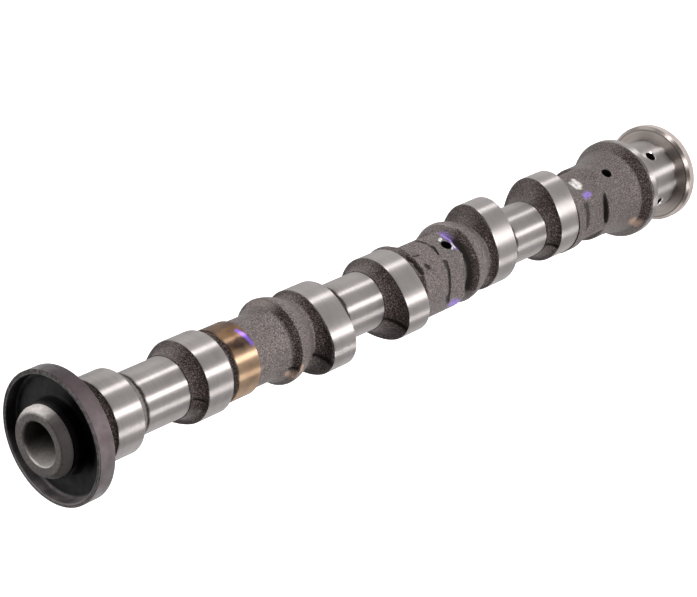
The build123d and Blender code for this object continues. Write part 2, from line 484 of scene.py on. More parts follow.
# ---------------------------------------------------------------- materials
# The attributes shade, deep, bright and pale are painted shading: they darken or lighten the colour
# on one side of the part, to deepen the contrast that the lamps give. They are fixed to the part and
# stay there when it is turned. They aren't scale, wear or dirt.
def new_material(name):
    material = bpy.data.materials.new(name)
    material.use_nodes = True
    tree = material.node_tree
    return material, tree, tree.nodes["Principled BSDF"]


def object_point(tree):
    return add_node(tree, "ShaderNodeTexCoord").outputs["Object"]


def stretched(tree, vector, scale):
    mapping = add_node(tree, "ShaderNodeMapping", {"Vector": vector})
    mapping.inputs["Scale"].default_value = scale
    return mapping.outputs[0]


def noise_at(tree, vector, scale, detail=3.0, roughness=0.5):
    inputs = {"Vector": vector, "Scale": scale, "Detail": detail, "Roughness": roughness}
    return add_node(tree, "ShaderNodeTexNoise", inputs).outputs[0]


def remap(tree, value, low, high, to_low=0.0, to_high=1.0):
    inputs = {"Value": value, 1: low, 2: high, 3: to_low, 4: to_high}
    return add_node(tree, "ShaderNodeMapRange", inputs, clamp=True).outputs[0]


def blend(tree, factor, a, b):
    node = add_node(tree, "ShaderNodeMix", data_type="RGBA")
    feed(tree, node.inputs[0], factor)
    feed(tree, node.inputs[6], a)
    feed(tree, node.inputs[7], b)
    return node.outputs[2]


def blend_by(tree, field, share, a, b):
    """Blends toward the second colour by a field times a share."""
    return blend(tree, calc(tree, "MULTIPLY", field, share), a, b)


def attribute(tree, name):
    return add_node(tree, "ShaderNodeAttribute", attribute_name=name).outputs["Fac"]


def combined(tree, x=0.0, y=0.0, z=0.0):
    return add_node(tree, "ShaderNodeCombineXYZ", {0: x, 1: y, 2: z}).outputs[0]


def polar(tree, point):
    """Distance of a shading point from the axis, and its x, y and z sockets."""
    axis = add_node(tree, "ShaderNodeSeparateXYZ", {0: point})
    x, y, _ = axis.outputs
    squares = calc(tree, "ADD", calc(tree, "MULTIPLY", x, x), calc(tree, "MULTIPLY", y, y))
    return calc(tree, "SQRT", squares), axis.outputs


def bump(tree, shader, field, strength, distance):
    inputs = {"Height": field, "Strength": strength, "Distance": distance}
    node = add_node(tree, "ShaderNodeBump", inputs)
    tree.links.new(node.outputs[0], shader.inputs["Normal"])


def ground_steel(name, colour):
    """Steel ground round the shaft: fine lines round it, and highlights drawn out along it."""
    material, tree, shader = new_material(name)
    point = object_point(tree)
    radius, axis = polar(tree, point)
    along = combined(tree, radius, 0.0, axis["Z"])
    fine = noise_at(tree, stretched(tree, along, GRINDING_LINES), 1.0, detail=2.0)
    cloud = noise_at(tree, point, 90.0, detail=3.0)
    streaks = stretched(tree, point, GRINDING_STREAKS)
    streak = noise_at(tree, streaks, 1.0, detail=3.0, roughness=0.65)
    clouded = remap(tree, cloud, 0.3, 0.7, 0.0, 0.3)
    streaked = remap(tree, streak, 0.35, 0.65, 0.0, 0.3)
    mottle = calc(tree, "ADD", clouded, streaked)
    feed(tree, shader.inputs["Base Color"], blend(tree, mottle, colour, scaled_colour(colour, 0.72)))
    feed(tree, shader.inputs["Roughness"], remap(tree, fine, 0.3, 0.7, 0.32, 0.48))
    shader.inputs["Metallic"].default_value = 1.0
    shader.inputs["Anisotropic"].default_value = 1.0
    feed(tree, shader.inputs["Tangent"], combined(tree, z=1.0))
    bump(tree, shader, fine, 0.12, 0.00005)
    return material


def tinted_steel():
    """Ground steel with heat tint in brown and straw clouds, a bare side and a violet paint mark."""
    material = ground_steel("heat-tinted steel", TINT_BASE)
    tree = material.node_tree
    shader = tree.nodes["Principled BSDF"]
    point = object_point(tree)
    cloud = noise_at(tree, stretched(tree, point, TINT_CLOUDS), 160.0, detail=2.0)
    tint = blend(tree, remap(tree, cloud, 0.36, 0.64), TINT_BROWN, TINT_AMBER)
    drift = remap(tree, noise_at(tree, point, 110.0, detail=3.0), 0.35, 0.65, -0.35, 0.3)
    warm = calc(tree, "ADD", attribute(tree, "straw"), drift, clamp=True)
    tint = blend(tree, warm, tint, TINT_STRAW)
    tint = blend(tree, attribute(tree, "bare"), tint, TINT_BARE)
    tint = blend(tree, attribute(tree, "purple"), tint, TINT_VIOLET)
    feed(tree, shader.inputs["Base Color"], tint)
    return material


def cast_iron():
    """Dark rough casting. Its marks and its painted shading come from attributes of the mesh."""
    material, tree, shader = new_material("cast iron")
    point = object_point(tree)
    fine = noise_at(tree, point, 1500.0, detail=4.0, roughness=0.65)
    broad = noise_at(tree, point, 260.0, detail=3.0)
    colour = blend(tree, remap(tree, fine, 0.38, 0.66), IRON_PIT, IRON_GRAIN)
    colour = blend(tree, remap(tree, broad, 0.35, 0.7, 0.0, 0.6), colour, IRON_CLOUD)
    torn = remap(tree, noise_at(tree, point, 900.0, detail=4.0, roughness=0.7), 0.35, 0.6)
    for label, paint, keep in SKIN_PAINTS:
        mark = attribute(tree, label)
        amount = calc(tree, "MULTIPLY", mark, calc(tree, "ADD", torn, 0.35), clamp=True)
        colour = blend_by(tree, amount, keep, colour, paint)
    shaded = attribute(tree, "shade")
    colour = blend_by(tree, shaded, remap(tree, fine, 0.62, 0.40, 0.82, 0.98), colour, IRON_SHADE)
    # Bright specks: lighter grains with painted glints, stronger where the painted shade is light
    speck = remap(tree, noise_at(tree, point, 2100.0, detail=3.0), 0.50, 0.64)
    glint = remap(tree, attribute(tree, "shade"), 0.0, 1.0, 0.26, 0.16)
    colour = blend_by(tree, speck, glint, colour, IRON_GLINT_SPECK)
    # Painted shade in the dents of the dark marks
    colour = blend_by(tree, attribute(tree, "dark"), 0.92, colour, IRON_CREASE_SHADE)
    feed(tree, shader.inputs["Base Color"], colour)
    feed(tree, shader.inputs["Roughness"], remap(tree, fine, 0.3, 0.7, 0.5, 0.75))
    metallic = remap(tree, attribute(tree, "shade"), 0.2, 1.0, 0.35, 0.12)
    feed(tree, shader.inputs["Metallic"], metallic)
    specular = remap(tree, attribute(tree, "shade"), 0.2, 1.0, 0.5, 0.05)
    feed(tree, shader.inputs["Specular IOR Level"], specular)
    bump(tree, shader, fine, 0.6, 0.0003)
    return material


def plain_metal(name, colour, rough, metallic=1.0):
    material, tree, shader = new_material(name)
    cloud = noise_at(tree, object_point(tree), 400.0, detail=3.0)
    feed(tree, shader.inputs["Roughness"], remap(tree, cloud, 0.3, 0.7, rough - 0.08, rough + 0.08))
    shader.inputs["Base Color"].default_value = colour
    shader.inputs["Metallic"].default_value = metallic
    return material


def wear_and_painted_shading(material):
    """Adds mottle, the painted shading, and bare worn specks along the top of the wall of the cup."""
    tree = material.node_tree
    shader = tree.nodes["Principled BSDF"]
    base = tuple(shader.inputs["Base Color"].default_value)
    point = object_point(tree)
    radius, axis = polar(tree, point)
    top = height(CUP_TOP) * MM
    lip = remap(tree, axis["Z"], top - 0.3 * MM, top - 0.05 * MM)
    lip = calc(tree, "MULTIPLY", lip, remap(tree, radius, WORN_FROM_R * MM, WORN_FULL_R * MM))
    specks = noise_at(tree, point, 700.0, detail=4.0, roughness=0.7)
    specks = remap(tree, specks, 0.42, 0.68, 0.1, 0.8)
    broad = remap(tree, noise_at(tree, point, 70.0, detail=4.0), 0.35, 0.65, 0.0, 0.75)
    small = remap(tree, noise_at(tree, point, 420.0, detail=4.0), 0.4, 0.62, 0.0, 0.5)
    worn = blend(tree, broad, scaled_colour(base, 1.25), scaled_colour(base, 0.4))
    worn = blend(tree, small, worn, scaled_colour(base, 0.35))
    patchy = remap(tree, noise_at(tree, point, 180.0, detail=3.0), 0.35, 0.6, 0.45, 1.0)
    worn = blend_by(tree, attribute(tree, "pale"), patchy, worn, CUP_PAINTED_LIGHT)
    worn = blend(tree, attribute(tree, "deep"), worn, CUP_PAINTED_SHADE)
    specular = remap(tree, attribute(tree, "deep"), 0.0, 1.0, 0.5, 0.0)
    feed(tree, shader.inputs["Specular IOR Level"], specular)
    worn = blend_by(tree, lip, specks, worn, LIP_WORN)
    feed(tree, shader.inputs["Base Color"], worn)
    return material


def nose_steel():
    """Dull turned grey, mottled, with painted shading on one side of its bevel and bore."""
    material, tree, shader = new_material("turned nose")
    point = object_point(tree)
    fine = noise_at(tree, point, 900.0, detail=4.0, roughness=0.65)
    broad = noise_at(tree, point, 130.0, detail=3.0)
    colour = blend(tree, remap(tree, fine, 0.36, 0.66), NOSE_PIT, NOSE_GRAIN)
    colour = blend(tree, remap(tree, broad, 0.4, 0.65, 0.0, 0.4), colour, NOSE_CLOUD)
    colour = blend(tree, attribute(tree, "deep"), colour, NOSE_PAINTED_SHADE)
    bright = attribute(tree, "bright")
    colour = blend_by(tree, bright, remap(tree, fine, 0.3, 0.6, 0.7, 1.0), colour, NOSE_PAINTED_LIGHT)
    feed(tree, shader.inputs["Base Color"], colour)
    feed(tree, shader.inputs["Roughness"], remap(tree, fine, 0.3, 0.7, 0.42, 0.62))
    shader.inputs["Metallic"].default_value = 0.05
    specular = remap(tree, attribute(tree, "deep"), 0.0, 1.0, 0.25, 0.0)
    feed(tree, shader.inputs["Specular IOR Level"], specular)
    return material


def turned_face(name, colour):
    """Steel turned across its face: concentric marks, and highlights drawn out along the radius."""
    material, tree, shader = new_material(name)
    radius, axis = polar(tree, object_point(tree))
    rings = noise_at(tree, combined(tree, radius, 0.0, axis["Z"]), 2600.0, detail=2.0)
    off_mark = calc(tree, "ABSOLUTE", calc(tree, "SUBTRACT", radius, FLANGE_MARK_R * MM))
    mark = remap(tree, off_mark, 0.4 * MM, 0.1 * MM)
    ringed = remap(tree, rings, 0.3, 0.7, 0.0, 0.6)
    darker = calc(tree, "ADD", ringed, calc(tree, "MULTIPLY", mark, 1.4))
    feed(tree, shader.inputs["Base Color"], blend(tree, darker, colour, scaled_colour(colour, 0.5)))
    feed(tree, shader.inputs["Roughness"], remap(tree, rings, 0.3, 0.7, 0.28, 0.44))
    shader.inputs["Metallic"].default_value = 1.0
    shader.inputs["Anisotropic"].default_value = 0.8
    feed(tree, shader.inputs["Tangent"], combined(tree, axis["X"], axis["Y"]))
    bump(tree, shader, rings, 0.25, 0.0001)
    return material


FLANGE = turned_face("turned flange", FLANGE_GREY)
STEEL = ground_steel("ground steel", STEEL_GREY)
IRON = cast_iron()
TINT = tinted_steel()
CUP = wear_and_painted_shading(plain_metal("dark pressed steel", CUP_BLACK, 0.66, 0.15))
MAGNET = wear_and_painted_shading(plain_metal("magnet band", MAGNET_BROWN, 0.42, 0.4))
BURR = plain_metal("bare burr", BURR_GREY, 0.35)
NOSE = nose_steel()
# The walls of the oil ways are painted near black, as the shade inside the holes
OIL_WAY = plain_metal("oil way painted shade", OIL_WAY_SHADE, 0.6)

GRAIN = cast_grain_tree()
CAM = cam_lobe_tree()


# ---------------------------------------------------------------- fields on a mesh
def declare(obj, node):
    obj.name = obj.name.replace(" ", "_")
    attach(obj, "root")
    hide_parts(node)


def give(obj, material):
    obj.data.materials.clear()
    obj.data.materials.append(material)


def set_field(obj, name, values):
    layer = obj.data.attributes.get(name) or obj.data.attributes.new(name, "FLOAT", "POINT")
    layer.data.foreach_set("value", np.asarray(values, np.float32))


def mesh_points(obj):
    flat = np.empty(len(obj.data.vertices) * 3, np.float32)
    obj.data.vertices.foreach_get("co", flat)
    return flat.reshape(-1, 3)


def places(obj):
    """Angle in degrees, station and radius of every point of a mesh."""
    x, y, z = mesh_points(obj).T
    return np.degrees(np.arctan2(y, x)), height(z / MM), np.hypot(x, y) / MM


def facing_nose(obj):
    """How much each point of a mesh faces up the shaft, from 0 to 1."""
    flat = np.empty(len(obj.data.vertices) * 3, np.float32)
    obj.data.vertex_normals.foreach_get("vector", flat)
    return np.clip(flat.reshape(-1, 3)[:, 2], 0, 1)


def side_field(phi, middle, gain, start):
    """Up to 1 round a middle angle, and 0 where the cosine of the way to it is under the start."""
    return np.clip(gain * (np.cos(np.radians(phi - middle)) - start), 0, 1)


# ---------------------------------------------------------------- marks on the cast skins
# Each mark is a path of (angle, station) points and a half width. The dark ones are dents too,
# painted dark with the shade that falls in them.
MARKS = {
    # Tan scale on the two collars
    "tan": (
        (((-158, 110.4), (-162, 112.2), (-155, 112.8)), 2.0),
        (((-143, 114.0), (-150, 114.2)), 1.2),
        (((-156, 331.6), (-160, 335.2)), 2.4),
    ),
    # Paint beside the middle oil hole, low on the middle section and on the rear hexagon
    "purple": (
        (((-43, 213.9), (-60, 214.4), (-74, 213.4)), 2.4),
        (((-158, 205.0), (-168, 212.0)), 2.6),
        (((-85, 299.0), (-83, 302.6)), 1.9),
    ),
    # Scribble on the rear hexagon, then burrs round the middle oil hole
    "white": (
        (((-53, 299.8), (-63, 300.2)), 1.9),
        (((-50, 302.8), (-60, 303.2)), 1.9),
        (((-60, 302.6), (-66, 301.2)), 1.7),
        (((-50, 210.6), (-52, 209.6)), 0.9),
        (((-66, 213.3), (-75, 212.6)), 0.65),
        (((-72, 211.6), (-76, 210.6)), 0.5),
    ),
    # Spot above the flats, then greyer skin round the middle oil hole
    "smudge": (
        (((-107.5, 186.4), (-110, 187.4)), 2.4),
        (((-52, 210.5), (-76, 209.0)), 4.5),
    ),
    # Painted highlight on the lit tops of the front crest and of the ridge
    "worn": (
        (((0, 111.9), (-50, 112.1)), 1.5),
        (((0, 219.2), (-50, 219.2)), 1.0),
    ),
    # Dents painted dark with the shade that falls in them
    "dark": (
        # Painted shade in folds at the top of the middle section
        (((-64, 184.7), (-73, 186.0)), 1.1),
        (((-78, 185.7), (-90, 186.4)), 1.4),
        (((-84, 190.2), (-88, 190.9)), 1.2),
        (((-65, 187.6), (-66.5, 190.2)), 0.6),
        # Painted shade along the top of its flats, and at the foot of the cone below them
        (((-90, 200.6), (-116, 200.3), (-150, 200.6)), 0.6),
        (((-92, 202.2), (-104, 203.3), (-120, 203.6), (-136, 203.3), (-148, 202.2)), 0.9),
        (((-90, 201.4), (-97, 201.2)), 1.3),
        (((-138, 201.0), (-148, 201.4)), 1.5),
        (((-139, 199.4), (-150, 201.8)), 1.2),
        (((-42, 197.0), (-46, 197.7), (-55, 199.3), (-66, 199.9), (-80, 200.3), (-90, 200.6)), 0.8),
        (((-46, 201.4), (-60, 203.2), (-74, 201.8)), 1.0),
        (((-68, 215.0), (-110, 215.6), (-150, 215.2)), 2.5),
        # Painted shade lines at the top and bottom of a flat of the rear hexagon
        (((-98, 298.4), (-117, 299.2), (-136, 298.4)), 1.4),
        (((-98, 296.4), (-136, 296.2)), 1.6),
        (((-95, 311.2), (-140, 311.2)), 1.1),
        # Painted shade in a nick in a slope, then in parting lines on the front crest and on the
        # slopes
        (((-131, 61.5), (-136, 64.8)), 0.8),
        (((-148, 109.8), (-146, 112.4)), 0.9),
        (((-148, 124.4), (-150, 128.4)), 1.2),
        (((-147, 166.6), (-150, 172.1)), 1.2),
        (((-147, 272.6), (-150, 278.1)), 1.2),
        (((31, 124.8), (29, 128.2)), 0.3),
        (((31, 167.0), (29, 171.9)), 0.3),
    ),
}
MARK_R = 15.0             # radius at which a mark's width is measured round the shaft
PIT_DEPTH = 0.45


def stroke(phi, station, path, half_width):
    """Soft mark along a path of (angle, station) points: 1 on the path, 0 at the half width."""
    scale = radians(MARK_R)
    nearest = np.full(len(phi), np.inf)
    for (a_phi, a_s), (b_phi, b_s) in zip(path, path[1:]):
        along = ((phi - a_phi + 180) % 360 - 180) * scale
        down = station - a_s
        run = (b_phi - a_phi) * scale
        drop = b_s - a_s
        share = np.clip((along * run + down * drop) / (run**2 + drop**2), 0, 1)
        nearest = np.minimum(nearest, np.hypot(along - share * run, down - share * drop))
    return np.clip(1.5 * (1 - nearest / half_width), 0, 1)


def marked(label, phi, station):
    """How much each point carries marks of one kind."""
    field = np.zeros(len(phi))
    for path, half_width in MARKS[label]:
        field = np.maximum(field, stroke(phi, station, path, half_width))
    return field


def dent(obj, amount, radius):
    """Sinks points toward the axis, by the pit depth where the amount is 1."""
    points = mesh_points(obj)
    points[:, :2] *= (1 - PIT_DEPTH * amount / radius)[:, None]
    obj.data.vertices.foreach_set("co", points.ravel())
    obj.data.update()


# ---------------------------------------------------------------- kinds of piece
GRAIN_SIZE = 0.9
GRAIN_DEPTH = 0.25
NECK_GRAIN_DEPTH = 0.15
COARSER = 1.2             # how much deeper the grain is on the steep faces
END_FADE = 0.5            # length over which grain and dents fade out at a piece's ends
STEEP_GAIN = 6.0
WAIST_FADE = 1.6

# Painted shading of the cast skins: darkest round one side, and weaker past the parting line
SHADE_FACING = -105
SHADE_GAIN = 2.2
SHADE_START = 0.25
SHADE_LEAST = 0.05
SHADE_END = -151
SHADE_END_FADE = 3.0
SHADE_END_LOSS = 0.3


def cast_piece(name, start, end, rule, depth=GRAIN_DEPTH, recess=0.0, steep_from=0.14, least_shade=0.0):
    """Cast skin with sand grain, marks, and painted shading on its steep faces toward the nose.

    The recess is the least share of steepness that the whole piece counts as having, and the last
    argument is the least painted shade that it gets.
    """
    obj = cast_object(name, start, end, rule)
    phi, station, radius = places(obj)
    inside = np.clip(np.minimum(station - start, end - station) / END_FADE, 0, 1)
    dent(obj, inside * marked("dark", phi, station), radius)
    steep = np.clip((facing_nose(obj) - steep_from) * STEEP_GAIN, 0, 1)
    waist = np.clip(np.minimum(station - TINT_BOTTOM, WAIST_END - station) / WAIST_FADE, 0, 1)
    steep = np.maximum(steep * (1 - waist), recess)
    set_field(obj, "grain", inside * (1 + COARSER * steep))
    beyond = np.clip((SHADE_END - phi) / SHADE_END_FADE, 0, 1)
    side = np.maximum(side_field(phi, SHADE_FACING, SHADE_GAIN, SHADE_START), SHADE_LEAST)
    side = side * (1 - SHADE_END_LOSS * beyond)
    set_field(obj, "shade", np.maximum(steep * side, least_shade))
    sizes = {"Grain size": GRAIN_SIZE * MM, "Depth": depth * MM, "Seed": start / 10}
    grow(obj, GRAIN, sizes | {"Material": IRON})
    phi, station, _ = places(obj)
    for label in MARKS:
        set_field(obj, label, marked(label, phi, station))
    smooth(obj, SHARP_CAST)
    declare(obj, "camshaft")
    return obj


def lobe_land(name, station, tip):
    """Ground lobe, made by the cam lobe tree."""
    obj = linked_object(name, bpy.data.meshes.new(name))
    sizes = {
        "Base radius": BASE_R * MM,
        "Lift": LIFT * MM,
        "Width": LOBE_W * MM,
        "Tip angle": radians(tip),
        "Reach": radians(REACH),
        "Power": POWER,
        "Height": height(station) * MM,
        "Edge": LAND_EDGE * MM,
    }
    grow(obj, CAM, sizes | {"Material": STEEL})
    smooth(obj)
    declare(obj, "camshaft")


def turned_piece(name, points, material, node="camshaft", loop=False):
    obj = turned_object(name, points, loop)
    give(obj, material)
    smooth(obj)
    declare(obj, node)
    return obj


def cut(obj, cutter):
    """Takes a cutter away from a piece, with the cutter's material on the new faces."""
    bpy.context.view_layer.update()
    modifier = obj.modifiers.new("cut", "BOOLEAN")
    modifier.operation = "DIFFERENCE"
    modifier.solver = "EXACT"
    modifier.material_mode = "TRANSFER"
    modifier.object = cutter
    evaluated = obj.evaluated_get(bpy.context.evaluated_depsgraph_get())
    mesh = bpy.data.meshes.new_from_object(evaluated)
    obj.modifiers.remove(modifier)
    obj.data = mesh
    bpy.data.objects.remove(cutter)


def oil_hole(obj, station, angle, bottom_r, surface_r, chamfer=0.0):
    """Round radial hole down to a distance from the axis, with a bright chamfer if one is given."""
    outside = surface_r + OVERSHOOT
    cuts = [(OIL_R, bottom_r, OIL_WAY)]
    if chamfer:
        cuts.append((OIL_R + chamfer + OVERSHOOT, surface_r - chamfer, BURR))
    for wide_r, inside, wall in cuts:
        bpy.ops.mesh.primitive_cone_add(
            vertices=HOLE_COLUMNS,
            radius1=OIL_R * MM,
            radius2=wide_r * MM,
            depth=(outside - inside) * MM,
            location=(0, 0, 0),
        )
        cutter = bpy.context.object
        turn = radians(angle)
        middle = (inside + outside) / 2
        cutter.rotation_euler = (0, pi / 2, turn)
        cutter.location = (middle * cos(turn) * MM, middle * sin(turn) * MM, height(station) * MM)
        give(cutter, wall)
        cut(obj, cutter)


# ---------------------------------------------------------------- lobes, journals and necks
def small_journal(name, middle):
    top = middle - JOURNAL_W / 2
    bottom = middle + JOURNAL_W / 2
    points = [(NECK_R, top), (JOURNAL_R - JOURNAL_EDGE, top), (JOURNAL_R, top + JOURNAL_EDGE)]
    points += [(JOURNAL_R, bottom), (NECK_R, bottom)]
    turned_piece(name, points, STEEL)


def neck_rule(phi, s):
    return NECK_R + 0 * s + 0 * phi


def slope_rule(tip, front, foot_r):
    def rule(phi, s):
        return slope(phi, s, tip, front, foot_r, SLOPE_W)

    return rule


def lobe_pair(pair):
    """Two ground lobes with the journal between them, the neck above it and the slope below it."""
    label = PAIRS[pair]
    tip = TIPS[pair]
    middle = journal_middle(pair)
    lobe_land(f"{label} upper lobe", middle - LOBE_OFFSET, tip)
    lobe_land(f"{label} lower lobe", middle + LOBE_OFFSET, tip)
    small_journal(f"{label} journal", middle)
    top = middle - JOURNAL_W / 2
    foot = middle + JOURNAL_W / 2
    cast_piece(f"{label} neck", lobe_edge(pair, -1, 1), top, neck_rule, NECK_GRAIN_DEPTH, recess=1.0)
    front = lobe_edge(pair, 1, -1)
    cast_piece(f"{label} lower slope", foot, front, slope_rule(tip, front, ROOT_R), recess=0.9)


def front_upper_slope():
    front = lobe_edge(0, -1, -1)
    rule = slope_rule(TIPS[0], front, NOSE_R)
    cast_piece("front upper slope", front - SLOPE_W, front, rule, recess=1.0)


# ---------------------------------------------------------------- sections between the pairs
def groove_rule(phi, s):
    points = ((FRONT_TOP, GROOVE_R), (81.2, GROOVE_R), (TINT_TOP, TINT_R - 0.4))
    return profile(s, points) + 0 * phi


def tint_ring():
    """Ground ring with heat tint; straw on the side away from the dark clouds, and a paint mark."""
    steps = np.linspace(TINT_TOP + TINT_EDGE, TINT_BOTTOM - TINT_EDGE, 38)
    points = [(TINT_R - TINT_SEAT, TINT_TOP), (TINT_R - TINT_EDGE, TINT_TOP)]
    points += [(TINT_R, s) for s in steps]
    points += [(TINT_R - TINT_EDGE, TINT_BOTTOM), (TINT_R - TINT_SEAT, TINT_BOTTOM)]
    obj = turned_piece("heat-tinted ring", points, TINT)
    phi, station, _ = places(obj)

    # Straw from -80 to -176 degrees, and bare steel round 86 degrees
    straw = np.clip((-80 - phi) / 12, 0, 1) * np.clip((phi + 176) / 8, 0, 1)
    set_field(obj, "straw", straw)
    set_field(obj, "bare", np.clip(1.6 * np.cos(np.radians(phi - 86)) + 0.1, 0, 1))
    set_field(obj, "purple", stroke(phi, station, ((-56, 91.3), (-70, 92.4), (-84, 93.2)), 1.3))


def front_collar_rule(phi, s):
    waist = ((TINT_BOTTOM, WAIST_R), (101, WAIST_R + 0.05), (104, 13.15), (107, 13.75), (110, 14.8))
    crest = ((111.2, 15.2), (112.9, CREST_R - 0.35), (CREST, CREST_R), (114.7, CREST_R))
    fall = ((117, 16.7), (119.4, 15.85), (122, 14.3), (124, VALLEY_R), (FRONT_END, VALLEY_R))
    core = profile(s, waist + crest + fall)
    return np.maximum(core, slope(phi, s, TIPS[1], FRONT_END, VALLEY_R, FRONT_VALLEY_W))


def middle_rule(phi, s):
    bar = ((MIDDLE_TOP, BAR_R - 1.1), (BAR_TOP, BAR_R), (HEX_BOTTOM - 0.2, BAR_R))
    cone = ((HEX_BOTTOM + 0.2, FLAT_A), (218.6, CREST_R - 0.5), (RIDGE, CREST_R), (221, CREST_R))
    fall = ((223.4, 16.7), (225.8, 15.95), (228.4, 14.5), (230.5, VALLEY_R), (MIDDLE_END, VALLEY_R))
    radius = profile(s, bar + cone + fall) + 0 * phi
    for normal in (-120, -60, 60, 120):
        radius = cut_flat(radius, phi, normal, FLAT_A, window(s, HEX_TOP, HEX_BOTTOM))
    radius = cut_flat(radius, phi, 0, LONG_FLAT_A, window(s, BAR_TOP, HEX_BOTTOM))
    return np.maximum(radius, slope(phi, s, TIPS[2], MIDDLE_END, VALLEY_R, MIDDLE_VALLEY_W))


def rear_rule(phi, s):
    bar = ((REAR_TOP, REAR_R), (320, REAR_R))
    dome = ((326.4, 17.1), (330.5, 17.9), (333.5, 18.9), (337.9, COLLAR_R - 0.4))
    radius = profile(s, bar + dome + ((COLLAR_TOP, COLLAR_R - 0.3),)) + 0 * phi
    for normal in (0, 60, 120, 180, -120):
        radius = cut_flat(radius, phi, normal, FLAT_A, window(s, REAR_HEX_TOP, REAR_HEX_BOTTOM))
    drawn_out = window(s, REAR_HEX_TOP, REAR_HEX_BOTTOM + 1.5, ramp=5.0)
    return cut_flat(radius, phi, -60, FLAT_A, drawn_out)


def sections():
    """Everything between the pairs of lobes, from the groove down to the rear collar."""
    cast_piece("groove", FRONT_TOP, TINT_TOP, groove_rule, recess=0.6)
    tint_ring()
    cast_piece("front collar", TINT_BOTTOM, FRONT_END, front_collar_rule)
    middle = cast_piece("middle section", MIDDLE_TOP, MIDDLE_END, middle_rule)
    rear = cast_piece("rear section", REAR_TOP, COLLAR_TOP, rear_rule, steep_from=0.3, least_shade=0.14)
    oil_hole(middle, *OIL_HOLES[0], OIL_BOTTOM_R, BAR_R)
    oil_hole(rear, *OIL_HOLES[1], OIL_BOTTOM_R, REAR_R + 1)


# ---------------------------------------------------------------- nose, cup and ring
def nose():
    """Turned nose with its bore, with painted light on one wall of the bore and on one side of the
    bevel.
    """
    points = [(NOSE_TIP_R - 0.1, 0.0), (NOSE_TIP_R, 0.05), (NOSE_R, NOSE_TAPER)]
    points += [(NOSE_R, NOSE_WALL_END), (DRILL_POINT_R, NOSE_WALL_END)]
    points += [(DRILL_POINT_R, BORE_DEPTH + DRILL_POINT), (BORE_R, BORE_DEPTH)]
    points += [(BORE_R, s) for s in np.linspace(BORE_ROWS_END, BORE_LIP, BORE_ROWS)]
    points += [(BORE_R + BORE_LIP, 0.0), (NOSE_TIP_R - 1.2, 0.0)]
    obj = turned_piece("nose", points, NOSE, loop=True)
    phi, station, radius = places(obj)

    # Painted shading: the bore darkens with depth but for its lit wall, the bevel has two sides
    in_bore = radius < BORE_R + 0.1
    lit = side_field(phi, 155, 1.3, 0) ** 1.5 * np.clip(1.15 - station / 14, 0, 1)
    dim = np.clip(0.3 + station / 10, 0, 1) * (1 - lit)
    bevel = (radius > NOSE_TIP_R - 0.3) * np.clip(3.2 - station, 0, 1)
    bright_bevel = 0.72 * bevel * side_field(phi, -15, 3, 0.68)
    dim_bevel = 0.85 * bevel * side_field(phi, -125, 1.8, 0.1)
    set_field(obj, "bright", np.where(in_bore, lit, bright_bevel))
    set_field(obj, "deep", np.where(in_bore, dim, dim_bevel))


def cup():
    """Pressed cup: a hub round the nose, a flat floor and a wall with painted light on one side."""
    hub_r = NOSE_R + SHEET
    bend_s = CUP_FLOOR - BEND_R
    points = [(NOSE_R, HUB_TOP), (hub_r - 0.2, HUB_TOP), (hub_r, HUB_TOP + 0.2)]
    points += arc_points(hub_r + BEND_R, bend_s, BEND_R, 180, 270)
    points += [(r, CUP_FLOOR) for r in FLOOR_RINGS]
    points += arc_points(CUP_INNER_R - BEND_R, bend_s, BEND_R, 270, 360)
    points += [(CUP_INNER_R, CUP_TOP + 0.25), (CUP_INNER_R + 0.2, CUP_TOP)]
    points += [(CUP_WALL_R - 0.15, CUP_TOP), (CUP_WALL_R, CUP_TOP + 0.15)]
    points += arc_points(CUP_WALL_R - OUTER_BEND_R, bend_s, OUTER_BEND_R, 0, -90)
    points += arc_points(NOSE_R + OUTER_BEND_R, bend_s, OUTER_BEND_R, 270, 180)
    obj = turned_piece("target cup", points, CUP, "target_cup", loop=True)
    phi, station, radius = places(obj)

    # Painted shading: the wall and its bend are paler, the floor and one side of the hub deeper
    up_wall = radius - CUP_INNER_R + 0.5
    wall = np.clip(up_wall / 0.4, 0, 1) * np.clip(11 - station, 0, 1)
    bend = 0.5 * np.clip(1.4 - abs(up_wall) / 0.25, 0, 1)
    by_hub = np.clip((19.5 - radius) / 2.5, 0, 1) * side_field(phi, -105, 1.8, 0.2)
    on_floor = 0.5 * np.clip((CUP_INNER_R - BEND_R - radius) / 0.4, 0, 1)
    set_field(obj, "pale", np.maximum(bend, wall * side_field(phi, 140, 1.8, 0.25)))
    set_field(obj, "deep", np.maximum(by_hub, on_floor))


def ring():
    """Magnetic band round the wall of the cup, with painted light round -118 degrees and painted shade
    round -5.
    """
    inner_r = CUP_WALL_R - OUTER_BEND_R
    points = [(CUP_WALL_R + 0.05, CUP_TOP + 0.12), (CUP_WALL_R + 0.15, CUP_TOP)]
    points += [(RING_R - RING_EDGE, CUP_TOP), (RING_R, CUP_TOP + RING_EDGE)]
    points += [(RING_R, RING_BOTTOM - RING_EDGE), (RING_R - RING_EDGE, RING_BOTTOM)]
    points += [(inner_r, RING_BOTTOM), (inner_r, CUP_FLOOR + SHEET)]
    points += [(CUP_WALL_R - 0.4, CUP_FLOOR - 0.3)]
    obj = turned_piece("target ring", points, MAGNET, "target_ring", loop=True)
    phi, _, _ = places(obj)
    set_field(obj, "pale", 0.42 * side_field(phi, -118, 1.6, 0.62))
    set_field(obj, "deep", 0.6 * side_field(phi, -5, 1.8, 0.35))


# ---------------------------------------------------------------- flange end
def collar_rim():
    side_r = COLLAR_R - COLLAR_EDGE
    points = [(COLLAR_CORE_R, COLLAR_TOP), (side_r, COLLAR_TOP), (COLLAR_R, COLLAR_TOP + COLLAR_EDGE)]
    points += [(COLLAR_R, COLLAR_BOTTOM - COLLAR_EDGE), (side_r, COLLAR_BOTTOM)]
    points += [(COLLAR_CORE_R, COLLAR_BOTTOM)]
    turned_piece("collar rim", points, STEEL)


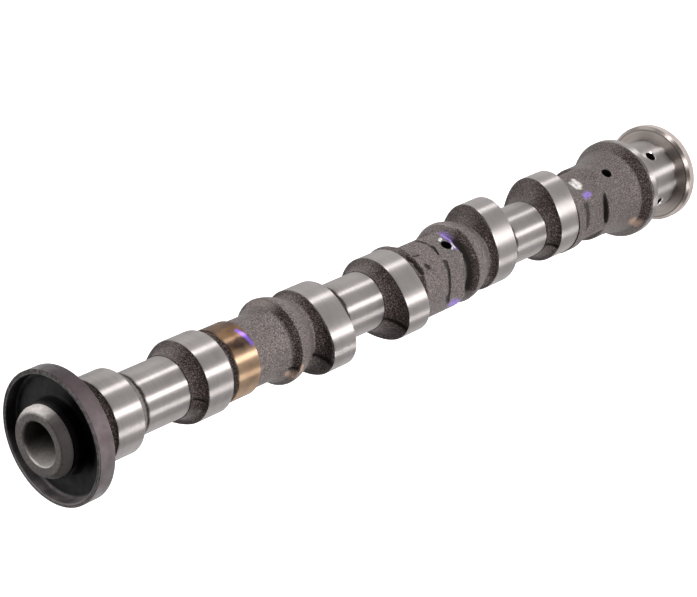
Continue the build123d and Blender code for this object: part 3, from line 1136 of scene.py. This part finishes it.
def main_journal():
    """Main journal with its bolt bore, undercut and two chamfered oil holes."""
    seat_top = COLLAR_BOTTOM - MAIN_SEAT
    seat_r = MAIN_R - MAIN_EDGE
    end = LENGTH - 0.1
    points = [(BOLT_R, seat_top), (seat_r, seat_top), (seat_r, COLLAR_BOTTOM)]
    points += [(MAIN_R, COLLAR_BOTTOM + MAIN_EDGE), (MAIN_R, MAIN_BOTTOM)]
    points += [(UNDERCUT_R, MAIN_BOTTOM + 0.2), (UNDERCUT_R, FLANGE_TOP + 1)]
    points += [(UNDERCUT_R, end), (BOLT_R, end)]
    journal = turned_piece("main journal", points, STEEL, loop=True)
    for station, angle in MAIN_OIL_HOLES:
        oil_hole(journal, station, angle, MAIN_OIL_BOTTOM_R, MAIN_R, OIL_CHAMFER)


def flange():
    inner_r = BOLT_R + 1
    points = [(inner_r, FLANGE_TOP), (FLANGE_R - FLANGE_EDGE, FLANGE_TOP)]
    points += [(FLANGE_R, FLANGE_TOP + FLANGE_EDGE), (FLANGE_R, LENGTH - 0.5)]
    points += [(FLANGE_R - 0.5, LENGTH), (inner_r, LENGTH)]
    turned_piece("flange", points, FLANGE, loop=True)


nose()
cup()
ring()
for pair_number in range(len(PAIRS)):
    lobe_pair(pair_number)
front_upper_slope()
sections()
collar_rim()
main_journal()
flange()


# ---------------------------------------------------------------- studio
AIM = Vector((0, 0, 0.19))
FLOOR_HALF = 4.0
FLOOR_GLOW = 0.8          # share of white that the floor shows to the camera whatever its light
WORLD_STRENGTH = 0.10

# Strips and soft boxes: name, azimuth, elevation, distance, width, height, watts
LIGHTS = (
    ("key strip", -102.5, 4, 1.3, 0.30, 0.45, 13.5),
    ("right strip", -44.0, 4, 1.3, 0.25, 0.45, 7.5),
    ("left strip", -149.0, 4, 1.3, 0.34, 0.45, 5.8),
    ("far left soft", 156, 4, 1.3, 0.9, 0.45, 2.6),
    ("top light", 8, 60, 1.4, 0.8, 0.5, 9),
    ("side soft", 5, 4, 1.3, 0.7, 0.45, 1.6),
    ("back light", 87, 45, 1.4, 1.0, 0.8, 3.5),
)


def camera():
    data = bpy.data.cameras.new("main camera")
    data.lens = 108.925
    data.sensor_width = 36.0
    data.clip_start = 0.01
    obj = linked_object("main camera", data)
    obj.location = (-0.025313, -0.593729, 0.781138)
    obj.rotation_euler = (-0.397816, 0.721017, -2.18523)
    bpy.context.scene.camera = obj


def floor():
    """White floor that lights as a matt one and looks near white to the camera and in reflections."""
    half = FLOOR_HALF
    corners = [(-half, -half, 0), (half, -half, 0), (half, half, 0), (-half, half, 0)]
    mesh = bpy.data.meshes.new("floor")
    mesh.from_pydata(corners, [], [(0, 1, 2, 3)])
    obj = linked_object("floor", mesh)
    material, tree, shader = new_material("white floor")
    shader.inputs["Base Color"].default_value = (0.85, 0.85, 0.85, 1)
    shader.inputs["Roughness"].default_value = 1.0
    shader.inputs["Specular IOR Level"].default_value = 0.0
    rays = add_node(tree, "ShaderNodeLightPath").outputs
    seen = calc(tree, "MAXIMUM", rays["Is Camera Ray"], rays["Is Glossy Ray"])
    seen = calc(tree, "MAXIMUM", seen, rays["Is Transmission Ray"])
    feed(tree, shader.inputs["Emission Strength"], calc(tree, "MULTIPLY", seen, FLOOR_GLOW))
    shader.inputs["Emission Color"].default_value = (1, 1, 1, 1)
    give(obj, material)


def area_light(name, azimuth, elevation, distance, width, tall, watts):
    data = bpy.data.lights.new(name, "AREA")
    data.shape = "RECTANGLE"
    data.size = width
    data.size_y = tall
    data.energy = watts
    turn = radians(azimuth)
    lift = radians(elevation)
    out = Vector((cos(lift) * cos(turn), cos(lift) * sin(turn), sin(lift)))
    obj = linked_object(name, data)
    obj.location = AIM + distance * out
    obj.rotation_euler = (obj.location - AIM).to_track_quat("Z", "Y").to_euler()
    obj.visible_camera = False


def studio():
    world = bpy.data.worlds.new("studio")
    bpy.context.scene.world = world
    world.use_nodes = True
    background = world.node_tree.nodes["Background"]
    background.inputs["Color"].default_value = (1, 1, 1, 1)
    background.inputs["Strength"].default_value = WORLD_STRENGTH
    for light in LIGHTS:
        area_light(*light)


camera()
floor()
studio()

bpy.context.scene.view_settings.view_transform = "Standard"
